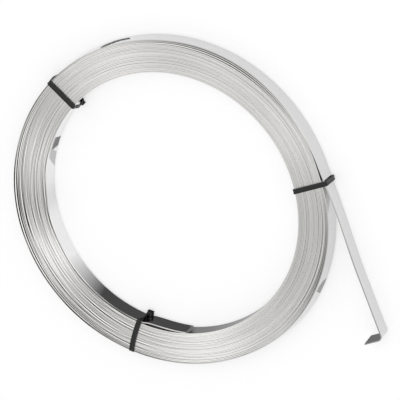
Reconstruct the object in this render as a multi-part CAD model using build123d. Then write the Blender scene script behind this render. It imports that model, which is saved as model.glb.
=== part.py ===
# Steel coil: a flat strip wound into a tight ring, held by three cable ties and lying flat.
# Millimetres. +Z runs up the coil's axis, the floor is z = 0, and the free tail runs along -Y.
import os
from math import cos, radians, sin, tan

from build123d import *

# Steel strip
strip_width = 19.05
strip_thickness = 1.27
turn_count = 26
bore_radius = 131.2

# Turn edges on the two ends
plain_turn_count = 2
ridge_drop = 0.1
groove_depth = 0.4

# Free outer tail with its hook
tail_length = 181.0
hook_length = 22.0
hook_bend_radius = 2.6

# Free inner end, bowed away from the bore between its tie and its tip
inner_end_angle = 234.8
inner_end_sweep_angle = 19.2
inner_end_bow = 1.5
inner_end_tip_gap = 0.2

# Cable ties
tie_angles = (352.5, 117.9, 232.6)
strap_width = 4.8
strap_thickness = 1.3
strap_corner_radius = 0.4
seat_gap = 0.05
side_gap = 0.4
top_gap = 0.3

# Tie heads, standing on the bore
head_length = 7.4
head_width = 7.6
head_height = 5.6
head_floor_gap = 0.4
head_edge_radius = 1.1
window_length = 2.6
window_width = 5.6
window_depth = 0.8
cut_end_length = 1.8

# Derived sizes
outer_radius = bore_radius + turn_count * strip_thickness
coil_base = strap_thickness + seat_gap
coil_top = coil_base + strip_width
loop_height = coil_top + top_gap + strap_thickness


def polar(radius, angle, centre_x=0):
    return (centre_x + radius * cos(radians(angle)), radius * sin(radians(angle)))


def half_turn(start_x, end_x, angle):
    # Half a turn of the spiral, between two points on the X axis.
    radius = abs(start_x - end_x) / 2
    return ThreePointArc((start_x, 0), polar(radius, angle, (start_x + end_x) / 2), (end_x, 0))


def outline_with_tail():
    # The outermost turn shrinks by one thickness around the coil, then leaves as the tail.
    inner_side = outer_radius - strip_thickness
    far_side = strip_thickness / 2 - outer_radius
    bend_x = inner_side - hook_bend_radius
    bend_y = strip_thickness + hook_bend_radius - tail_length
    hook_top = strip_thickness - tail_length
    tip_x = outer_radius - hook_length
    inside_x, inside_y = polar(hook_bend_radius, 315, bend_x)
    outside_x, outside_y = polar(hook_bend_radius + strip_thickness, 315, bend_x)
    return make_face([
        half_turn(outer_radius, far_side, 90),
        half_turn(far_side, inner_side, 270),
        Line((inner_side, 0), (inner_side, bend_y)),
        ThreePointArc((inner_side, bend_y), (inside_x, bend_y + inside_y), (bend_x, hook_top)),
        Line((bend_x, hook_top), (tip_x, hook_top)),
        Line((tip_x, hook_top), (tip_x, -tail_length)),
        Line((tip_x, -tail_length), (bend_x, -tail_length)),
        ThreePointArc((bend_x, -tail_length), (outside_x, bend_y + outside_y), (outer_radius, bend_y)),
        Line((outer_radius, bend_y), (outer_radius, 0)),
    ])


def bore_with_inner_end():
    # The bore grows by one thickness around the coil; the strip's inner end bows into it.
    outer_side = bore_radius + strip_thickness
    far_side = -bore_radius - strip_thickness / 2
    middle_angle = inner_end_sweep_angle / 2
    tip_outside = polar(outer_side - inner_end_tip_gap, inner_end_sweep_angle)
    tip_inside = polar(bore_radius - inner_end_tip_gap, inner_end_sweep_angle)
    bore = make_face([
        half_turn(bore_radius, far_side, 270),
        half_turn(far_side, outer_side, 90),
        ThreePointArc((outer_side, 0), polar(outer_side - inner_end_bow, middle_angle), tip_outside),
        Line(tip_outside, tip_inside),
        ThreePointArc(tip_inside, polar(bore_radius - inner_end_bow, middle_angle), (bore_radius, 0)),
    ])
    return Rot(0, 0, inner_end_angle) * bore


def turn_edges():
    # Rings cut into an end: each turn's edge leans the other way from its neighbour's.
    first_radius = bore_radius + plain_turn_count * strip_thickness
    ring_count = turn_count - plain_turn_count * 2
    last_radius = first_radius + ring_count * strip_thickness
    points = [(first_radius, groove_depth), (last_radius, groove_depth), (last_radius, 0)]
    for ring in range(ring_count - 1, 0, -1):
        drop = ridge_drop if ring % 2 == 0 else groove_depth
        points.append((first_radius + ring * strip_thickness, -drop))
    points.append((first_radius, 0))
    return revolve(Plane.XZ * make_face(Polyline(*points, close=True)), Axis.Z)


def strip_coil():
    ring = extrude(outline_with_tail() - bore_with_inner_end(), strip_width)
    edges = turn_edges()
    ring -= Pos(0, 0, strip_width) * edges
    ring -= Rot(180, 0, 0) * edges
    return Pos(0, 0, coil_base) * ring


def bore_side(angle):
    return bore_radius + strip_thickness * ((inner_end_angle - angle) % 360) / 360


def outer_side(angle):
    # Beside the tail the tie also goes round the tail, which leaves the coil along a tangent.
    if angle > 270:
        lean = radians(360 - angle)
        return outer_radius / cos(lean) + strap_width / 2 * tan(lean)
    return outer_radius - strip_thickness * angle / 360


def strap_loop(inner_x, outer_x):
    inside_length = outer_x - inner_x
    inside_height = loop_height - strap_thickness * 2
    middle = Pos((inner_x + outer_x) / 2, loop_height / 2)
    outside = RectangleRounded(inside_length + strap_thickness * 2, loop_height,
                               strap_corner_radius + strap_thickness)
    inside = RectangleRounded(inside_length, inside_height, strap_corner_radius)
    return extrude(Plane.XZ * middle * (outside - inside), strap_width / 2, both=True)


def tie_head(inner_x):
    # A block with a window, and the cut end of the strap standing out of it.
    middle_z = head_floor_gap + head_length / 2
    face_x = inner_x - head_height
    block = Pos(inner_x - head_height / 2, 0, middle_z) * Box(head_height, head_width, head_length)
    block = fillet(block.faces().sort_by(Axis.X)[0].edges(), head_edge_radius)
    block -= Pos(face_x + window_depth / 2, 0, middle_z) * Box(window_depth, window_width, window_length)
    cut_end = Box(cut_end_length + window_depth, strap_width, strap_thickness)
    return block + Pos(face_x + (window_depth - cut_end_length) / 2, 0, middle_z) * cut_end


def cable_tie(angle):
    inner_x = bore_side(angle) - side_gap
    outer_x = outer_side(angle) + side_gap
    return Rot(0, 0, angle) * (strap_loop(inner_x, outer_x) + tie_head(inner_x))


os.makedirs("parts", exist_ok=True)
export_step(strip_coil(), "parts/strip_coil.step")
for number, tie_angle in enumerate(tie_angles, start=1):
    export_step(cable_tie(tie_angle), f"parts/cable_tie_{number}.step")
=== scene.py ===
from math import cos, pi, radians, sin, tan

import bmesh
import bpy
import numpy as np
from mathutils import Matrix, Vector


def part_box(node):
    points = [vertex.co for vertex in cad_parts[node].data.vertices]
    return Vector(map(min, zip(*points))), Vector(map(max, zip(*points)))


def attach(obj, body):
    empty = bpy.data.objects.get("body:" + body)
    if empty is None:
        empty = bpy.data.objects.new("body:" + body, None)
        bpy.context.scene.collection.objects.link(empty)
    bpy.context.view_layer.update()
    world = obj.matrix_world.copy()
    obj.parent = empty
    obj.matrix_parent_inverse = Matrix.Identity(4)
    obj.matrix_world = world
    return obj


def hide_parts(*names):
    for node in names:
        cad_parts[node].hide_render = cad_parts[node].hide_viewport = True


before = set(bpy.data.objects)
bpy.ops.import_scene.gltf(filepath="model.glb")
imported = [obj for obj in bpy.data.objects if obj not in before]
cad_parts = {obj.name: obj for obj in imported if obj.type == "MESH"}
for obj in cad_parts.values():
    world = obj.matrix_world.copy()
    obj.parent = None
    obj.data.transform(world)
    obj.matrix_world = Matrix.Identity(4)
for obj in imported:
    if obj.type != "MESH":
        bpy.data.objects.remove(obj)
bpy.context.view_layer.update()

# Shapes are worked out in millimetres, as the solids are, and scaled to metres as meshes.
METRES = 0.001
coil_low, coil_high = (np.array(corner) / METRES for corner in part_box("strip_coil"))

# Camera, at the photograph's viewing angle (metres and degrees)
camera_aim = (0.02592, -0.00622, 0.01088)
camera_azimuth = 21.03
camera_elevation = 58.72
camera_roll = -129.24
camera_distance = 6.683
camera_lens = 630.0
camera_sensor = 36.0
camera_reach = 100.0

# Steel strip, with its reach, its base and its top read from the coil's box
outer_radius = coil_high[0]
tail_length = -coil_low[1]
coil_base = coil_low[2]
coil_top = coil_high[2]
bore_radius = 131.2
turn_pitch = 1.27
strip_thickness = 1.16
turn_gap = 0.02
edge_rounding = 0.06
edge_stagger = 0.15
turn_wobble = 0.04
steps_per_turn = 240
strip_half_width = (coil_top - coil_base) / 2 - edge_stagger

# Unevenness along the strip: sums of sine waves, with their pitches in waves per turn
winding_seed = 20
noise_waves = 14
noise_peak = 1.6
wobble_pitches = (0.3, 2.4)
stagger_pitches = (0.2, 1.6)
drift_pitches = (0.4, 3.0)

# Steps where a turn leaves the one under it, so that it stands apart for one round
turn_step_count = 12
turn_step_run = 0.25
turn_step_sizes = (0.5, 1.5)

# Inner end of the strip, which stands off the turns round it
inner_end_angle = 234.8
inner_end_sweep = 19.2
inner_end_bow = 1.8
inner_end_bow_lean = 0.55
inner_stand_off = 0.9
inner_stand_off_turns = 0.32

wound_turns = (outer_radius - bore_radius) / turn_pitch - 1 + inner_end_angle / 360

# Tail, which leaves the coil straight, shifts inwards, leans a little and ends in a leaning hook
tail_step = 4.0
tail_shift = 2.4
tail_shift_start = 40.0
tail_shift_run = 75.0
tail_lean = 4.0
tail_lean_run = 50.0
hook_length = 22.0
hook_bend_radius = 3.2
hook_lean = 6.0
hook_steps = 10

# Turns that stand off or sink in between the ties:
# (angle, bulge, spread, depth in turns, outward lean in degrees)
loose_turns = (
    (44.0, 1.4, 24.0, 3.2, 6.0),
    (174.0, 1.8, 37.0, 6.0, 0.0),
    (174.0, 2.2, 37.0, 2.4, 0.0),
    (174.0, -1.77, 37.0, 1.0, 0.0),
    (216.0, 0.9, 26.0, 4.0, 0.0),
    (300.0, 2.4, 26.0, 3.4, -6.0),
    (302.0, 1.0, 20.0, 1.0, 0.0),
)

# Beside the tail's start, the turns under the outermost one are pulled in
pull_angle = 356.0
pull_spread = 8.0
pull_in = 1.2
pull_start = 0.5
pull_turns = 7.0

# Brighter and duller stretches of the strip's edges and of its broad faces, which are painted
# sheen, glints and shade, with how far in they lie, counted in turns from the outside: (angle,
# spread, from turn, to turn, added tone)
innermost = 99.0
# Painted sheen fans round the top, and painted dark and light lines between the outer turns
edge_sheen_and_shade = (
    (14.0, 17.0, 0.0, innermost, 0.16),
    (48.0, 20.0, 0.0, innermost, 0.15),
    (92.0, 22.0, 0.0, innermost, 0.24),
    (146.0, 12.0, 0.0, innermost, 0.14),
    (166.0, 8.0, 0.0, innermost, -0.06),
    (187.0, 11.0, 0.0, innermost, 0.34),
    (211.0, 9.0, 0.0, innermost, -0.04),
    (262.0, 23.0, 0.0, innermost, 0.32),
    (300.0, 11.0, 0.0, innermost, 0.04),
    (180.0, 80.0, 0.0, 0.9, -0.55),
    (180.0, 60.0, 1.05, 2.9, 0.12),
    (60.0, 24.0, 0.0, 1.6, -0.2),
    (66.0, 16.0, 1.7, 2.6, 0.12),
    (322.0, 26.0, 0.5, 3.4, -0.2),
    (322.0, 24.0, 3.5, 4.4, 0.12),
    (322.0, 24.0, 4.5, 5.4, -0.2),
    (322.0, 24.0, 5.5, 6.4, 0.1),
)
# Painted reflections on the walls: lighter beside the tail's start, darker in a few stretches
wall_sheen_and_shade = (
    (352.0, 12.0, 0.8, 1.0, 0.14),
    (325.0, 14.0, 0.8, 1.0, -0.05),
    (166.0, 6.0, 24.5, innermost, -0.12),
)
stretch_drift = 4.0
stretch_fade = 0.05
# Painted reflection: the walls of the innermost turns are lighter, fading out over the first turns
bore_painted_reflection = 0.17
bore_reflection_turns = 1.2
tail_edge_tone = -0.24
tail_edge_start = 20.0
tail_edge_run = 80.0

# Cable ties. The leg in the bore may bow, slant and twist (in degrees), the outer leg may bow,
# and the strap may slant or bow sideways over the top.
full_head_height = 4.8
ties = (
    {"node": "cable_tie_1", "angle": 352.2, "slant": 2.2},
    {"node": "cable_tie_2", "angle": 117.9, "inner_bow": 2.2, "outer_bow": 0.9, "head_height": 2.8},
    {"node": "cable_tie_3", "angle": 232.6, "inner_bow": 1.4, "outer_bow": 0.2, "side_bow": -1.0,
     "leg_slant": 4.0, "leg_twist": 58.0},
)
tail_side_angle = 270.0
strap_width = 4.8
strap_thickness = 1.3
strap_bend_radius = 1.15
strap_edge_rounding = 0.3
strap_rail_width = 0.9
strap_channel_depth = 0.14
side_gap = 0.4
run_steps = 12
bend_steps = 8
crease_angle = 40.0

# Tie heads, standing on the bore, with a collar where the strap's cut end comes out
head_length = 6.8
head_width = 6.6
head_floor_gap = 0.4
head_edge_radius = 1.7
head_taper = 0.8
collar_length = 3.9
collar_width = 5.6
collar_depth = 0.9
collar_shift = 0.25
cut_end_length = 1.2
head_edge_segments = 4
small_edge_segments = 2
round_profile = 0.5

# Finish of the steel. Tones and roughnesses go from the first to the second value of a pair.
steel_tint = {"Red": 1.0, "Green": 0.989, "Blue": 0.968}
tone_range = (0.05, 0.95)
wall_tones = (0.66, 0.72)
wall_roughness = (0.06, 0.14)
edge_tones = (0.495, 0.575)
edge_roughness = (0.30, 0.42)
edge_contrasts = (0.05, 0.62)
stronger_lines_angle = 200.0
stronger_lines_range = (0.3, 1.0)
steel_bump = 0.08

# Noise in the finishes: how it is drawn out, and the range that most of it lies in
brushed_stretch = (6.0, 4000.0, 0.0)
turn_stretch = (2.2, 2.2, 1.7)
group_stretch = (1.3, 1.3, 0.5)
grain_stretch = (900.0, 900.0, 900.0)
fine_detail = 3.0
turn_detail = 2.0
noise_range = (0.3, 0.7)
brushed_range = (0.25, 0.75)
difference_range = (-0.3, 0.3)
bump_distance = 0.0001

# Finish of the ties
nylon_colour = (0.011, 0.011, 0.012, 1.0)
nylon_gloss = 0.3
nylon_roughness = (0.24, 0.38)
nylon_bump = 0.12

# Stage (metres)
floor_half_size = 7.0
floor_colour = 0.56
floor_glow = 0.49
world_light = 0.8
world_seen = 1.0
lamp_place = (0.9, 0.5, 2.0)
lamp_size = 1.6
lamp_power = 9.0

# Dark cards that lie on the floor and show only in the steel, as painted dark reflections
# (millimetres)
card_height = 0.3
card_spacing = 0.1
card_steps = 60

# Ring-shaped cards: (name, brightness, radii, angles from and to, fades in degrees)
ring_cards = (
    ("bore_card", 0.07, (96.0, 137.0), (191.5, 258.0), (20.0, 2.0)),
    ("foot_card", 0.28, (96.0, 137.0), (252.0, 345.0), (2.0, 85.0)),
)

# Small cards: (name, brightness, corners)
small_cards = (
    ("hook_card", 0.2, ((124.0, -179.0), (160.0, -179.0), (160.0, -160.0), (124.0, -160.0))),
    ("leaf_card", 0.24, ((-97.4, 90.4), (-97.5, 81.5), (-105.2, 69.0), (-103.8, 83.0))),
    ("patch_card", 0.6, ((-103.4, 70.6), (-108.0, 74.2), (-113.4, 70.4), (-116.0, 60.6),
                         (-108.0, 62.6))),
    ("sliver_card", 0.1, ((12.6, 165.0), (12.4, 166.6), (-11.0, 166.9), (-25.9, 166.3),
                          (-20.0, 164.3), (-10.0, 164.7), (0.0, 164.9))),
    ("edge_card", 0.45, ((119.8, -113.1), (118.0, -119.8), (114.1, -125.9), (108.9, -131.0),
                         (104.5, -124.5), (115.0, -110.0))),
)

rng = np.random.default_rng(winding_seed)


def polar(radius, angle):
    return radius * np.cos(angle), radius * np.sin(angle)


def smooth_step(value):
    share = np.clip(value, 0, 1)
    return share ** 2 * (3 - 2 * share)


def angle_away(angle, middle):
    return (angle - middle + 180) % 360 - 180


def smooth_noise(turns, pitch_range):
    # A sum of sines of random pitch and phase, at most about 1 high, along the strip.
    pitches = rng.uniform(*pitch_range, noise_waves)
    phases = rng.uniform(0, 2 * pi, noise_waves)
    waves = np.sin(2 * pi * np.outer(turns, pitches) + phases)
    return waves.sum(axis=1) / noise_waves ** 0.5 / noise_peak


def new_object(name, data):
    item = bpy.data.objects.new(name, data)
    bpy.context.scene.collection.objects.link(item)
    return item


def add_piece(name, mesh, node, material):
    piece = new_object(name, mesh)
    mesh.materials.append(material)
    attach(piece, "root")
    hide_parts(node)


# Wound strip

def turn_steps(turns, room):
    # The room left over by the strip's own thickness is shared out over steps along the winding.
    spacing = wound_turns / turn_step_count
    starts = (np.arange(turn_step_count) + rng.uniform(0, 1, turn_step_count)) * spacing
    sizes = rng.uniform(*turn_step_sizes, turn_step_count)
    sizes *= room / sizes.sum()
    return smooth_step((turns[:, None] - starts) / turn_step_run) @ sizes


def wound_path():
    # The strip's middle line in plan from its inner tip round the coil, with its turns and lean.
    inner_turns = inner_end_sweep / 360
    steps = int((inner_turns + wound_turns) * steps_per_turn)
    turns = np.linspace(-inner_turns, wound_turns, steps + 1)
    depth = wound_turns - turns
    angle = radians(inner_end_angle) - 2 * pi * turns
    tight_pitch = strip_thickness + turn_gap
    room = outer_radius - bore_radius - strip_thickness - tight_pitch * wound_turns
    radius = bore_radius + strip_thickness / 2 + tight_pitch * turns
    radius += turn_steps(turns, room)
    radius += turn_wobble * smooth_noise(turns, wobble_pitches) * np.clip(depth, 0, 1)
    tip_share = np.clip(-turns / inner_turns, 0, 1)
    radius -= inner_end_bow * np.sin(pi * tip_share ** inner_end_bow_lean)
    stand_off_share = 1 - smooth_step(turns / inner_stand_off_turns)
    radius -= inner_stand_off * stand_off_share * (1 - tip_share)
    lean = np.zeros_like(turns)
    for bulge_angle, bulge, spread, reach, bulge_lean in loose_turns:
        away = angle_away(np.degrees(angle), bulge_angle)
        looseness = np.exp(-(away / spread) ** 2) * np.clip(1 - depth / reach, 0, 1)
        radius += bulge * looseness
        lean += radians(bulge_lean) * looseness
    pulled = np.exp(-(angle_away(np.degrees(angle), pull_angle) / pull_spread) ** 2)
    pulled *= (depth > pull_start) * np.clip(1 - (depth - 1) / pull_turns, 0, 1)
    radius -= pull_in * pulled
    return np.stack(polar(radius, angle), axis=1), turns, lean


def tail_path():
    # The tail and its hook, from where the strip leaves the coil, and the strip's lean there.
    bend_middle = hook_bend_radius + strip_thickness / 2
    straight_end = strip_thickness + hook_bend_radius - tail_length
    y = np.linspace(0, straight_end, int(tail_length / tail_step) + 1)[1:]
    shift = tail_shift * smooth_step((-y - tail_shift_start) / tail_shift_run)
    x = outer_radius - strip_thickness / 2 - shift
    bend_x = x[-1] - bend_middle
    bend_angle = np.linspace(0, -pi / 2, hook_steps + 1)[1:]
    bend_plan = np.stack(polar(bend_middle, bend_angle), axis=1) + (bend_x, straight_end)
    tip_x = np.linspace(bend_x, outer_radius - hook_length, hook_steps + 1)[1:]
    tip = np.stack([tip_x, np.full_like(tip_x, straight_end - bend_middle)], axis=1)
    plan = np.concatenate([np.stack([x, y], axis=1), bend_plan, tip])
    bend_lean = tail_lean + (hook_lean - tail_lean) * np.linspace(0, 1, hook_steps + 1)[1:]
    lean = np.concatenate([tail_lean * smooth_step(-y / tail_lean_run), bend_lean,
                           np.full(len(tip), hook_lean)])
    return plan, np.radians(lean)


def strip_section():
    # Corner points of the strip's section, with the way that the surface faces at each.
    half = strip_thickness / 2
    quarter = [(half, strip_half_width - edge_rounding, 1, 0),
               (half - edge_rounding, strip_half_width, 0, 1)]
    top = quarter + [(-a, b, -c, d) for a, b, c, d in reversed(quarter)]
    bottom = [(a, -b, c, -d) for a, b, c, d in reversed(top)]
    return np.array(top + bottom)


def strip_normals(plan):
    # The way out of the coil at each point of the middle line.
    step = np.diff(plan, axis=0)
    step /= np.linalg.norm(step, axis=1, keepdims=True)
    run = np.concatenate([step[:1], step[:-1] + step[1:], step[-1:]])
    run /= np.linalg.norm(run, axis=1, keepdims=True)
    return np.stack([-run[:, 1], run[:, 0]], axis=1)


def leaning(across, up, lean):
    # Turns section places or directions by the strip's lean at each point of its line.
    turned_across = across[None] * np.cos(lean)[:, None] + up[None] * np.sin(lean)[:, None]
    turned_up = up[None] * np.cos(lean)[:, None] - across[None] * np.sin(lean)[:, None]
    return turned_across, turned_up


def cap_ways(plan):
    # Unit directions out of the strip's two cut ends.
    first = plan[0] - plan[1]
    last = plan[-1] - plan[-2]
    return first / np.linalg.norm(first), last / np.linalg.norm(last)


# Painted sheen and shade: tone added in stretches round the coil, between two depths in turns.
def painted_stretch_tone(angle, depth, stretches):
    added = np.zeros_like(depth)
    for middle, spread, first, last, tone in stretches:
        inner_share = np.clip((last - depth) / stretch_fade, 0, 1)
        cover = np.clip(1 + (depth - first) / stretch_fade, 0, 1) * inner_share
        added += tone * cover * np.exp(-(angle_away(angle, middle) / spread) ** 2)
    return added


def added_tones(plan, turn):
    # Tone added to the strip's edges and to its walls: painted sheen, glints and shade, lighter
    # walls in the bore as a painted reflection, and duller edges along the tail.
    depth = wound_turns - turn
    angle = np.degrees(np.arctan2(plan[:, 1], plan[:, 0]))
    angle += stretch_drift * smooth_noise(turn, drift_pitches)
    tail_run = -depth * 2 * pi * outer_radius
    edge_tone = painted_stretch_tone(angle, depth, edge_sheen_and_shade)
    edge_tone += tail_edge_tone * smooth_step((tail_run - tail_edge_start) / tail_edge_run)
    wall_tone = painted_stretch_tone(angle, depth, wall_sheen_and_shade)
    wall_tone += bore_painted_reflection * np.clip(1 - turn / bore_reflection_turns, 0, 1)
    return edge_tone, wall_tone


def wound_strip(material):
    wound, turns, wound_lean = wound_path()
    tail, lean_along_tail = tail_path()
    plan = np.concatenate([wound, tail])
    lean = np.concatenate([wound_lean, lean_along_tail])
    out = strip_normals(plan)
    rise = np.zeros(len(plan))
    rise[:len(wound)] = edge_stagger * np.clip(smooth_noise(turns, stagger_pitches), -1, 1)
    section = strip_section()
    middle = (coil_base + coil_top) / 2

    sides = len(section)
    vertices = np.empty((len(plan), sides, 3))
    across, up = leaning(section[:, 0], section[:, 1], lean)
    vertices[:, :, :2] = plan[:, None] + out[:, None] * across[:, :, None]
    vertices[:, :, 2] = middle + rise[:, None] + up
    facing = np.empty_like(vertices)
    across, up = leaning(section[:, 2], section[:, 3], lean)
    facing[:, :, :2] = out[:, None] * across[:, :, None]
    facing[:, :, 2] = up

    start = np.arange(len(plan) - 1)[:, None] * sides
    corner = np.arange(sides)[None]
    following = (corner + 1) % sides
    quads = np.stack([start + corner, start + following,
                      start + sides + following, start + sides + corner], axis=2).reshape(-1, 4)
    first_cap = list(range(sides))[::-1]
    last_cap = [len(plan) * sides - sides + index for index in range(sides)]
    mesh = bpy.data.meshes.new("wound_strip")
    mesh.from_pydata((vertices.reshape(-1, 3) * METRES).tolist(), [],
                     quads.tolist() + [first_cap, last_cap])
    mesh.update()

    # Smooth shading over the rounded edges, and flat cut ends
    mesh.shade_smooth()
    side_normals = facing.reshape(-1, 3)[quads.ravel()]
    cap_normals = [np.tile(np.append(way, 0), (sides, 1)) for way in cap_ways(plan)]
    mesh.normals_split_custom_set(np.concatenate([side_normals] + cap_normals).tolist())

    # Length along the strip, place across it, added tone (painted sheen, shade and reflections) and
    # turn number, for the finish
    length = np.concatenate([[0], np.cumsum(np.linalg.norm(np.diff(plan, axis=0), axis=1))])
    tail_turns = (length[len(wound):] - length[len(wound) - 1]) / (2 * pi * outer_radius)
    turn = np.concatenate([turns, wound_turns + tail_turns])
    edge_tone, wall_tone = added_tones(plan, turn)
    lay = np.empty_like(vertices)
    lay[:, :, 0] = length[:, None] * METRES
    lay[:, :, 1] = section[None, :, 1] * METRES
    lay[:, :, 2] = np.where(section[:, 3] != 0, edge_tone[:, None], wall_tone[:, None])
    winding = np.empty_like(vertices)
    winding[:, :, :2] = (plan / np.linalg.norm(plan, axis=1, keepdims=True))[:, None]
    winding[:, :, 2] = turn[:, None]
    for name, values in (("lay", lay), ("winding", winding)):
        attribute = mesh.attributes.new(name, "FLOAT_VECTOR", "POINT")
        attribute.data.foreach_set("vector", values.ravel())
    add_piece("wound_strip", mesh, "strip_coil", material)


# Cable ties

def bore_side(angle):
    turns = (inner_end_angle - angle) % 360 / 360
    stand_off = inner_stand_off * (1 - smooth_step(turns / inner_stand_off_turns))
    return bore_radius + turn_pitch * turns - stand_off


def outer_side(angle):
    # Beside the tail the tie also goes round the tail, which leaves the coil along a tangent.
    if angle > tail_side_angle:
        lean = radians(360 - angle)
        return outer_radius / cos(lean) + strap_width / 2 * tan(lean)
    return outer_radius - turn_pitch * angle / 360


def strap_path(inner_x, outer_x, height, inner_bow, outer_bow):
    # The strap's middle line: up the bore, over the top, down the outside and back underneath.
    bend = strap_bend_radius + strap_thickness / 2
    low = strap_thickness / 2
    high = height - strap_thickness / 2
    left = inner_x - strap_thickness / 2
    right = outer_x + strap_thickness / 2
    share = np.linspace(0, 1, run_steps + 1)
    leg = low + bend + share * (high - low - 2 * bend)
    run = left + bend + share * (right - left - 2 * bend)
    swell = np.sin(pi * share) ** 2
    arc = np.linspace(0, pi / 2, bend_steps + 1)[1:-1]
    along, over = bend * np.cos(arc), bend * np.sin(arc)
    pieces = (
        (left - inner_bow * swell, leg),
        (left + bend - along, high - bend + over),
        (run, np.full_like(run, high)),
        (right - bend + over, high - bend + along),
        (right + outer_bow * swell, leg[::-1]),
        (right - bend + along, low + bend - over),
        (run[::-1], np.full_like(run, low)),
        (left + bend - over, low + bend - along),
    )
    return np.concatenate([np.stack(piece, axis=1) for piece in pieces])


def strap_section():
    # Half of the strap's section, mirrored: rounded edges and a shallow channel outside.
    half = strap_width / 2
    thick = strap_thickness / 2
    edge = strap_edge_rounding
    rail = half - strap_rail_width
    side = [(-thick, half - edge), (edge - thick, half), (thick - edge, half), (thick, half - edge),
            (thick, rail), (thick - strap_channel_depth, rail - edge)]
    return side + [(a, -b) for a, b in reversed(side)]


def strap_loop(mesh, path, leg_twist):
    ahead = np.roll(path, -1, axis=0) - path
    ahead /= np.linalg.norm(ahead, axis=1, keepdims=True)
    run = ahead + np.roll(ahead, 1, axis=0)
    run /= np.linalg.norm(run, axis=1, keepdims=True)
    out = np.stack([-run[:, 1], run[:, 0]], axis=1)
    leg_steps = run_steps + 1
    twist = np.zeros(len(path))
    twist[:leg_steps] = radians(leg_twist) * np.sqrt(np.sin(np.linspace(0, pi, leg_steps)))
    rings = []
    for (x, z), (out_x, out_z), turn in zip(path, out, twist):
        turned = [(a * cos(turn) + b * sin(turn), b * cos(turn) - a * sin(turn))
                  for a, b in strap_section()]
        rings.append([mesh.verts.new((x + a * out_x, b, z + a * out_z)) for a, b in turned])
    for ring, following in zip(rings, rings[1:] + rings[:1]):
        for corner in range(len(ring)):
            after = (corner + 1) % len(ring)
            mesh.faces.new((ring[corner], following[corner], following[after], ring[after]))


def rounded_block(mesh, size, centre, radius, segments, taper=1.0):
    # A block with rounded edges, whose inward face is smaller than its base where it tapers.
    block = bmesh.ops.create_cube(mesh, size=1)["verts"]
    for vertex in block:
        x, y, z = vertex.co
        shrink = taper if x < 0 else 1.0
        corner = Vector((x * size[0], y * size[1] * shrink, z * size[2] * shrink))
        vertex.co = Vector(centre) + corner
    edges = list({edge for vertex in block for edge in vertex.link_edges})
    bmesh.ops.bevel(mesh, geom=edges, offset=radius, segments=segments, profile=round_profile,
                    affect="EDGES", clamp_overlap=True)


def tie_head(mesh, inner_x, head_height):
    # A rounded block with a collar on its face, and the strap's cut end standing out of it.
    # A lower head is also narrower and shorter.
    size = (head_height / full_head_height) ** 0.5
    middle_z = head_floor_gap + head_length * size / 2
    face_x = inner_x - head_height
    rounded_block(mesh, (head_height, head_width * size, head_length * size),
                  (inner_x - head_height / 2, 0, middle_z),
                  head_edge_radius * size, head_edge_segments, head_taper)
    rounded_block(mesh, (collar_depth, collar_width * size, collar_length * size),
                  (face_x - collar_depth * collar_shift, 0, middle_z),
                  strap_edge_rounding, small_edge_segments)
    rounded_block(mesh, (cut_end_length, strap_width, strap_thickness),
                  (face_x - cut_end_length / 2, 0, middle_z),
                  strap_edge_rounding, small_edge_segments)


def cable_tie(material, node, angle, inner_bow=0.0, outer_bow=0.0, slant=0.0, side_bow=0.0,
              leg_slant=0.0, leg_twist=0.0, head_height=full_head_height):
    inner_x = bore_side(angle) - side_gap
    outer_x = outer_side(angle) + side_gap
    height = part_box(node)[1][2] / METRES
    shape = bmesh.new()
    strap_loop(shape, strap_path(inner_x, outer_x, height, inner_bow, outer_bow), leg_twist)
    tie_head(shape, inner_x, head_height)
    middle_x = (inner_x + outer_x) / 2
    half_span = (outer_x - inner_x) / 2
    for vertex in shape.verts:
        share = max(-1.0, min(1.0, (vertex.co.x - middle_x) / half_span))
        vertex.co.y += slant * share + side_bow * (1 - share ** 2)
        vertex.co.y += leg_slant * (1 - share) / 2 * (1 - vertex.co.z / height)
    bmesh.ops.recalc_face_normals(shape, faces=shape.faces)
    bmesh.ops.transform(shape, matrix=Matrix.Rotation(radians(angle), 4, "Z"), verts=shape.verts)
    bmesh.ops.scale(shape, vec=(METRES, METRES, METRES), verts=shape.verts)
    mesh = bpy.data.meshes.new(node + "_strap")
    shape.to_mesh(mesh)
    shape.free()
    mesh.shade_smooth()
    mesh.set_sharp_from_angle(angle=radians(crease_angle))
    add_piece(node + "_strap", mesh, node, material)


# Materials

def new_material(name):
    material = bpy.data.materials.new(name)
    material.use_nodes = True
    tree = material.node_tree
    return material, tree, tree.nodes["Principled BSDF"]


def ramp(tree, value, limits, results):
    # Maps a value between two limits to the range between two results.
    node = tree.nodes.new("ShaderNodeMapRange")
    node.inputs["From Min"].default_value, node.inputs["From Max"].default_value = limits
    node.inputs["To Min"].default_value, node.inputs["To Max"].default_value = results
    tree.links.new(value, node.inputs["Value"])
    return node.outputs["Result"]


def stretched_noise(tree, vector, stretch, detail, shift=(0.0, 0.0, 0.0)):
    # Noise that is drawn out by a different amount each way.
    mapping = tree.nodes.new("ShaderNodeMapping")
    mapping.inputs["Location"].default_value = shift
    mapping.inputs["Scale"].default_value = stretch
    tree.links.new(vector, mapping.inputs["Vector"])
    noise = tree.nodes.new("ShaderNodeTexNoise")
    noise.inputs["Scale"].default_value = 1.0
    noise.inputs["Detail"].default_value = detail
    tree.links.new(mapping.outputs["Vector"], noise.inputs["Vector"])
    return noise.outputs["Fac"]


def math_node(tree, operation, first, second):
    node = tree.nodes.new("ShaderNodeMath")
    node.operation = operation
    for socket, value in zip(node.inputs, (first, second)):
        if isinstance(value, float):
            socket.default_value = value
        else:
            tree.links.new(value, socket)
    return node.outputs["Value"]


def attribute_vector(tree, name):
    node = tree.nodes.new("ShaderNodeAttribute")
    node.attribute_name = name
    return node.outputs["Vector"]


def vector_parts(tree, vector):
    node = tree.nodes.new("ShaderNodeSeparateXYZ")
    tree.links.new(vector, node.inputs["Vector"])
    return node.outputs


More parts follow.
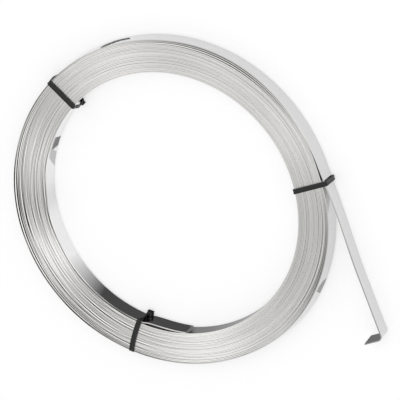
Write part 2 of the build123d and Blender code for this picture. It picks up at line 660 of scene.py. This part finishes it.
def towards(tree, winding, angle):
    # 1 on the side of the coil at this angle, falling to -1 on the opposite side.
    node = tree.nodes.new("ShaderNodeVectorMath")
    node.operation = "DOT_PRODUCT"
    node.inputs[1].default_value = (cos(radians(angle)), sin(radians(angle)), 0.0)
    tree.links.new(winding, node.inputs[0])
    return node.outputs["Value"]


def mixed(tree, share, first, second):
    node = tree.nodes.new("ShaderNodeMix")
    tree.links.new(share, node.inputs["Factor"])
    tree.links.new(first, node.inputs["A"])
    tree.links.new(second, node.inputs["B"])
    return node.outputs["Result"]


def add_bump(tree, shader, height, strength):
    bump = tree.nodes.new("ShaderNodeBump")
    bump.inputs["Strength"].default_value = strength
    bump.inputs["Distance"].default_value = bump_distance
    tree.links.new(height, bump.inputs["Height"])
    tree.links.new(bump.outputs["Normal"], shader.inputs["Normal"])


def edge_share(tree, across):
    # 0 on the strip's broad faces, rising to 1 on its two narrow edges.
    distance = math_node(tree, "ABSOLUTE", across, 0.0)
    edge_start = (strip_half_width - edge_rounding) * METRES
    return ramp(tree, distance, (edge_start, strip_half_width * METRES), (0.0, 1.0))


def turn_difference(tree, winding):
    # How far each turn differs from the two turns beside it, about -1 to 1.
    shifts = [(0.0, 0.0, shift) for shift in (0.0, -turn_stretch[2], turn_stretch[2])]
    own, inner, outer = (stretched_noise(tree, winding, turn_stretch, turn_detail, shift)
                         for shift in shifts)
    beside = math_node(tree, "MULTIPLY", math_node(tree, "ADD", inner, outer), 0.5)
    difference = math_node(tree, "SUBTRACT", own, beside)
    return ramp(tree, difference, difference_range, (-1.0, 1.0))


def steel_material():
    # Bright rolled strip: fine lines along the broad faces, and edges that differ by turn.
    material, tree, shader = new_material("bright_steel_strip")
    lay = attribute_vector(tree, "lay")
    winding = attribute_vector(tree, "winding")
    lay_parts = vector_parts(tree, lay)
    on_edge = edge_share(tree, lay_parts["Y"])
    brushed = stretched_noise(tree, lay, brushed_stretch, fine_detail)
    turn_lines = turn_difference(tree, winding)
    turn_groups = stretched_noise(tree, winding, group_stretch, turn_detail)

    # The turns differ more towards one side of the coil.
    contrast = ramp(tree, towards(tree, winding, stronger_lines_angle), stronger_lines_range, edge_contrasts)
    edge_tone = math_node(tree, "ADD", math_node(tree, "MULTIPLY", contrast, turn_lines),
                          ramp(tree, turn_groups, noise_range, edge_tones))
    wall_tone = ramp(tree, brushed, noise_range, wall_tones)
    # The added tone from the lay attribute carries the painted sheen, shade and reflections into
    # the colour.
    tone = math_node(tree, "ADD", mixed(tree, on_edge, wall_tone, edge_tone), lay_parts["Z"])
    tone = ramp(tree, tone, tone_range, tone_range)
    colour = tree.nodes.new("ShaderNodeCombineColor")
    for channel, share in steel_tint.items():
        tint = ramp(tree, on_edge, (0.0, 1.0), (1.0, share))
        tree.links.new(math_node(tree, "MULTIPLY", tone, tint), colour.inputs[channel])
    tree.links.new(colour.outputs["Color"], shader.inputs["Base Color"])
    shader.inputs["Metallic"].default_value = 1.0
    roughness = mixed(tree, on_edge, ramp(tree, brushed, brushed_range, wall_roughness),
                      ramp(tree, turn_lines, (-1.0, 1.0), edge_roughness))
    tree.links.new(roughness, shader.inputs["Roughness"])
    add_bump(tree, shader, brushed, steel_bump)
    return material


def nylon_material():
    material, tree, shader = new_material("black_nylon")
    place = tree.nodes.new("ShaderNodeTexCoord")
    grain = stretched_noise(tree, place.outputs["Object"], grain_stretch, fine_detail)
    shader.inputs["Base Color"].default_value = nylon_colour
    shader.inputs["Specular IOR Level"].default_value = nylon_gloss
    tree.links.new(ramp(tree, grain, noise_range, nylon_roughness), shader.inputs["Roughness"])
    add_bump(tree, shader, grain, nylon_bump)
    return material


# Stage

def seen_share(tree):
    # 1 for rays that show the backdrop itself, straight or in a reflection, and 0 for its light.
    path = tree.nodes.new("ShaderNodeLightPath")
    seen = math_node(tree, "MAXIMUM", path.outputs["Is Camera Ray"], path.outputs["Is Glossy Ray"])
    return math_node(tree, "MAXIMUM", seen, path.outputs["Is Transmission Ray"])


def bare_material(name):
    # A material whose surface is still to be linked.
    material, tree, shader = new_material(name)
    tree.nodes.remove(shader)
    return material, tree, tree.nodes["Material Output"].inputs["Surface"]


def studio_floor():
    mesh = bpy.data.meshes.new("studio_floor")
    side = floor_half_size
    mesh.from_pydata([(-side, -side, 0), (side, -side, 0), (side, side, 0), (-side, side, 0)],
                     [], [(0, 1, 2, 3)])
    material, tree, surface = bare_material("studio_white")
    diffuse = tree.nodes.new("ShaderNodeBsdfDiffuse")
    diffuse.inputs["Color"].default_value = (floor_colour, floor_colour, floor_colour, 1.0)
    glow = tree.nodes.new("ShaderNodeEmission")
    tree.links.new(math_node(tree, "MULTIPLY", seen_share(tree), floor_glow),
                   glow.inputs["Strength"])
    both = tree.nodes.new("ShaderNodeAddShader")
    tree.links.new(diffuse.outputs["BSDF"], both.inputs[0])
    tree.links.new(glow.outputs["Emission"], both.inputs[1])
    tree.links.new(both.outputs["Shader"], surface)
    mesh.materials.append(material)
    new_object("studio_floor", mesh)


def studio_world():
    world = bpy.data.worlds.new("studio_world")
    bpy.context.scene.world = world
    world.use_nodes = True
    tree = world.node_tree
    background = tree.nodes["Background"]
    background.inputs["Color"].default_value = (1.0, 1.0, 1.0, 1.0)
    strength = ramp(tree, seen_share(tree), (0.0, 1.0), (world_light, world_seen))
    tree.links.new(strength, background.inputs["Strength"])


def key_softbox():
    # A soft square lamp that points at the coil.
    lamp = bpy.data.lights.new("key_softbox", "AREA")
    lamp.size = lamp_size
    lamp.energy = lamp_power
    light = new_object("key_softbox", lamp)
    light.location = lamp_place
    light.rotation_euler = (-Vector(lamp_place)).to_track_quat("-Z", "Y").to_euler()


def dark_card(name, vertices, faces, shares, brightness):
    # A sheet on the floor that shows only in the steel, painting a dark reflection there. The
    # shares say how much it covers there.
    mesh = bpy.data.meshes.new(name)
    mesh.from_pydata((np.array(vertices) * METRES).tolist(), [], faces)
    mesh.attributes.new("share", "FLOAT", "POINT").data.foreach_set("value", shares)
    material, tree, surface = bare_material(name)
    opacity = tree.nodes.new("ShaderNodeAttribute")
    opacity.attribute_name = "share"
    clear = tree.nodes.new("ShaderNodeBsdfTransparent")
    dark = tree.nodes.new("ShaderNodeEmission")
    dark.inputs["Strength"].default_value = brightness
    mix = tree.nodes.new("ShaderNodeMixShader")
    tree.links.new(opacity.outputs["Fac"], mix.inputs["Fac"])
    tree.links.new(clear.outputs["BSDF"], mix.inputs[1])
    tree.links.new(dark.outputs["Emission"], mix.inputs[2])
    tree.links.new(mix.outputs["Shader"], surface)
    mesh.materials.append(material)
    card = new_object(name, mesh)
    card.visible_camera = False
    card.visible_diffuse = False
    card.visible_transmission = False
    card.visible_shadow = False


def ring_card(name, brightness, radii, ends, fades, height):
    # A ring beside the coil's foot, fading towards both of its ends.
    first, last = ends
    angles = np.linspace(first, last, card_steps + 1)
    vertices = [(*polar(radius, radians(angle)), height) for angle in angles for radius in radii]
    faces = [(2 * step, 2 * step + 1, 2 * step + 3, 2 * step + 2) for step in range(card_steps)]
    shares = np.minimum((angles - first) / fades[0], (last - angles) / fades[1])
    dark_card(name, vertices, faces, np.repeat(np.minimum(shares, 1), 2), brightness)


def small_card(name, brightness, corners):
    vertices = [(x, y, card_height) for x, y in corners]
    dark_card(name, vertices, [tuple(range(len(corners)))], [1.0] * len(corners), brightness)


def photo_camera():
    camera = bpy.data.cameras.new("photo_camera")
    camera.lens = camera_lens
    camera.sensor_width = camera_sensor
    camera.clip_end = camera_reach
    holder = new_object("photo_camera", camera)
    turn = (Matrix.Rotation(radians(camera_azimuth + 90), 4, "Z")
            @ Matrix.Rotation(radians(90 - camera_elevation), 4, "X")
            @ Matrix.Rotation(radians(camera_roll), 4, "Z"))
    back = turn @ Vector((0, 0, 1))
    holder.matrix_world = Matrix.Translation(Vector(camera_aim) + back * camera_distance) @ turn
    bpy.context.scene.camera = holder


wound_strip(steel_material())
nylon = nylon_material()
for tie in ties:
    cable_tie(nylon, **tie)
studio_floor()
studio_world()
key_softbox()
for place, card in enumerate(ring_cards):
    ring_card(*card, card_height + card_spacing * place)
for card in small_cards:
    small_card(*card)
photo_camera()
bpy.context.scene.view_settings.view_transform = "Standard"
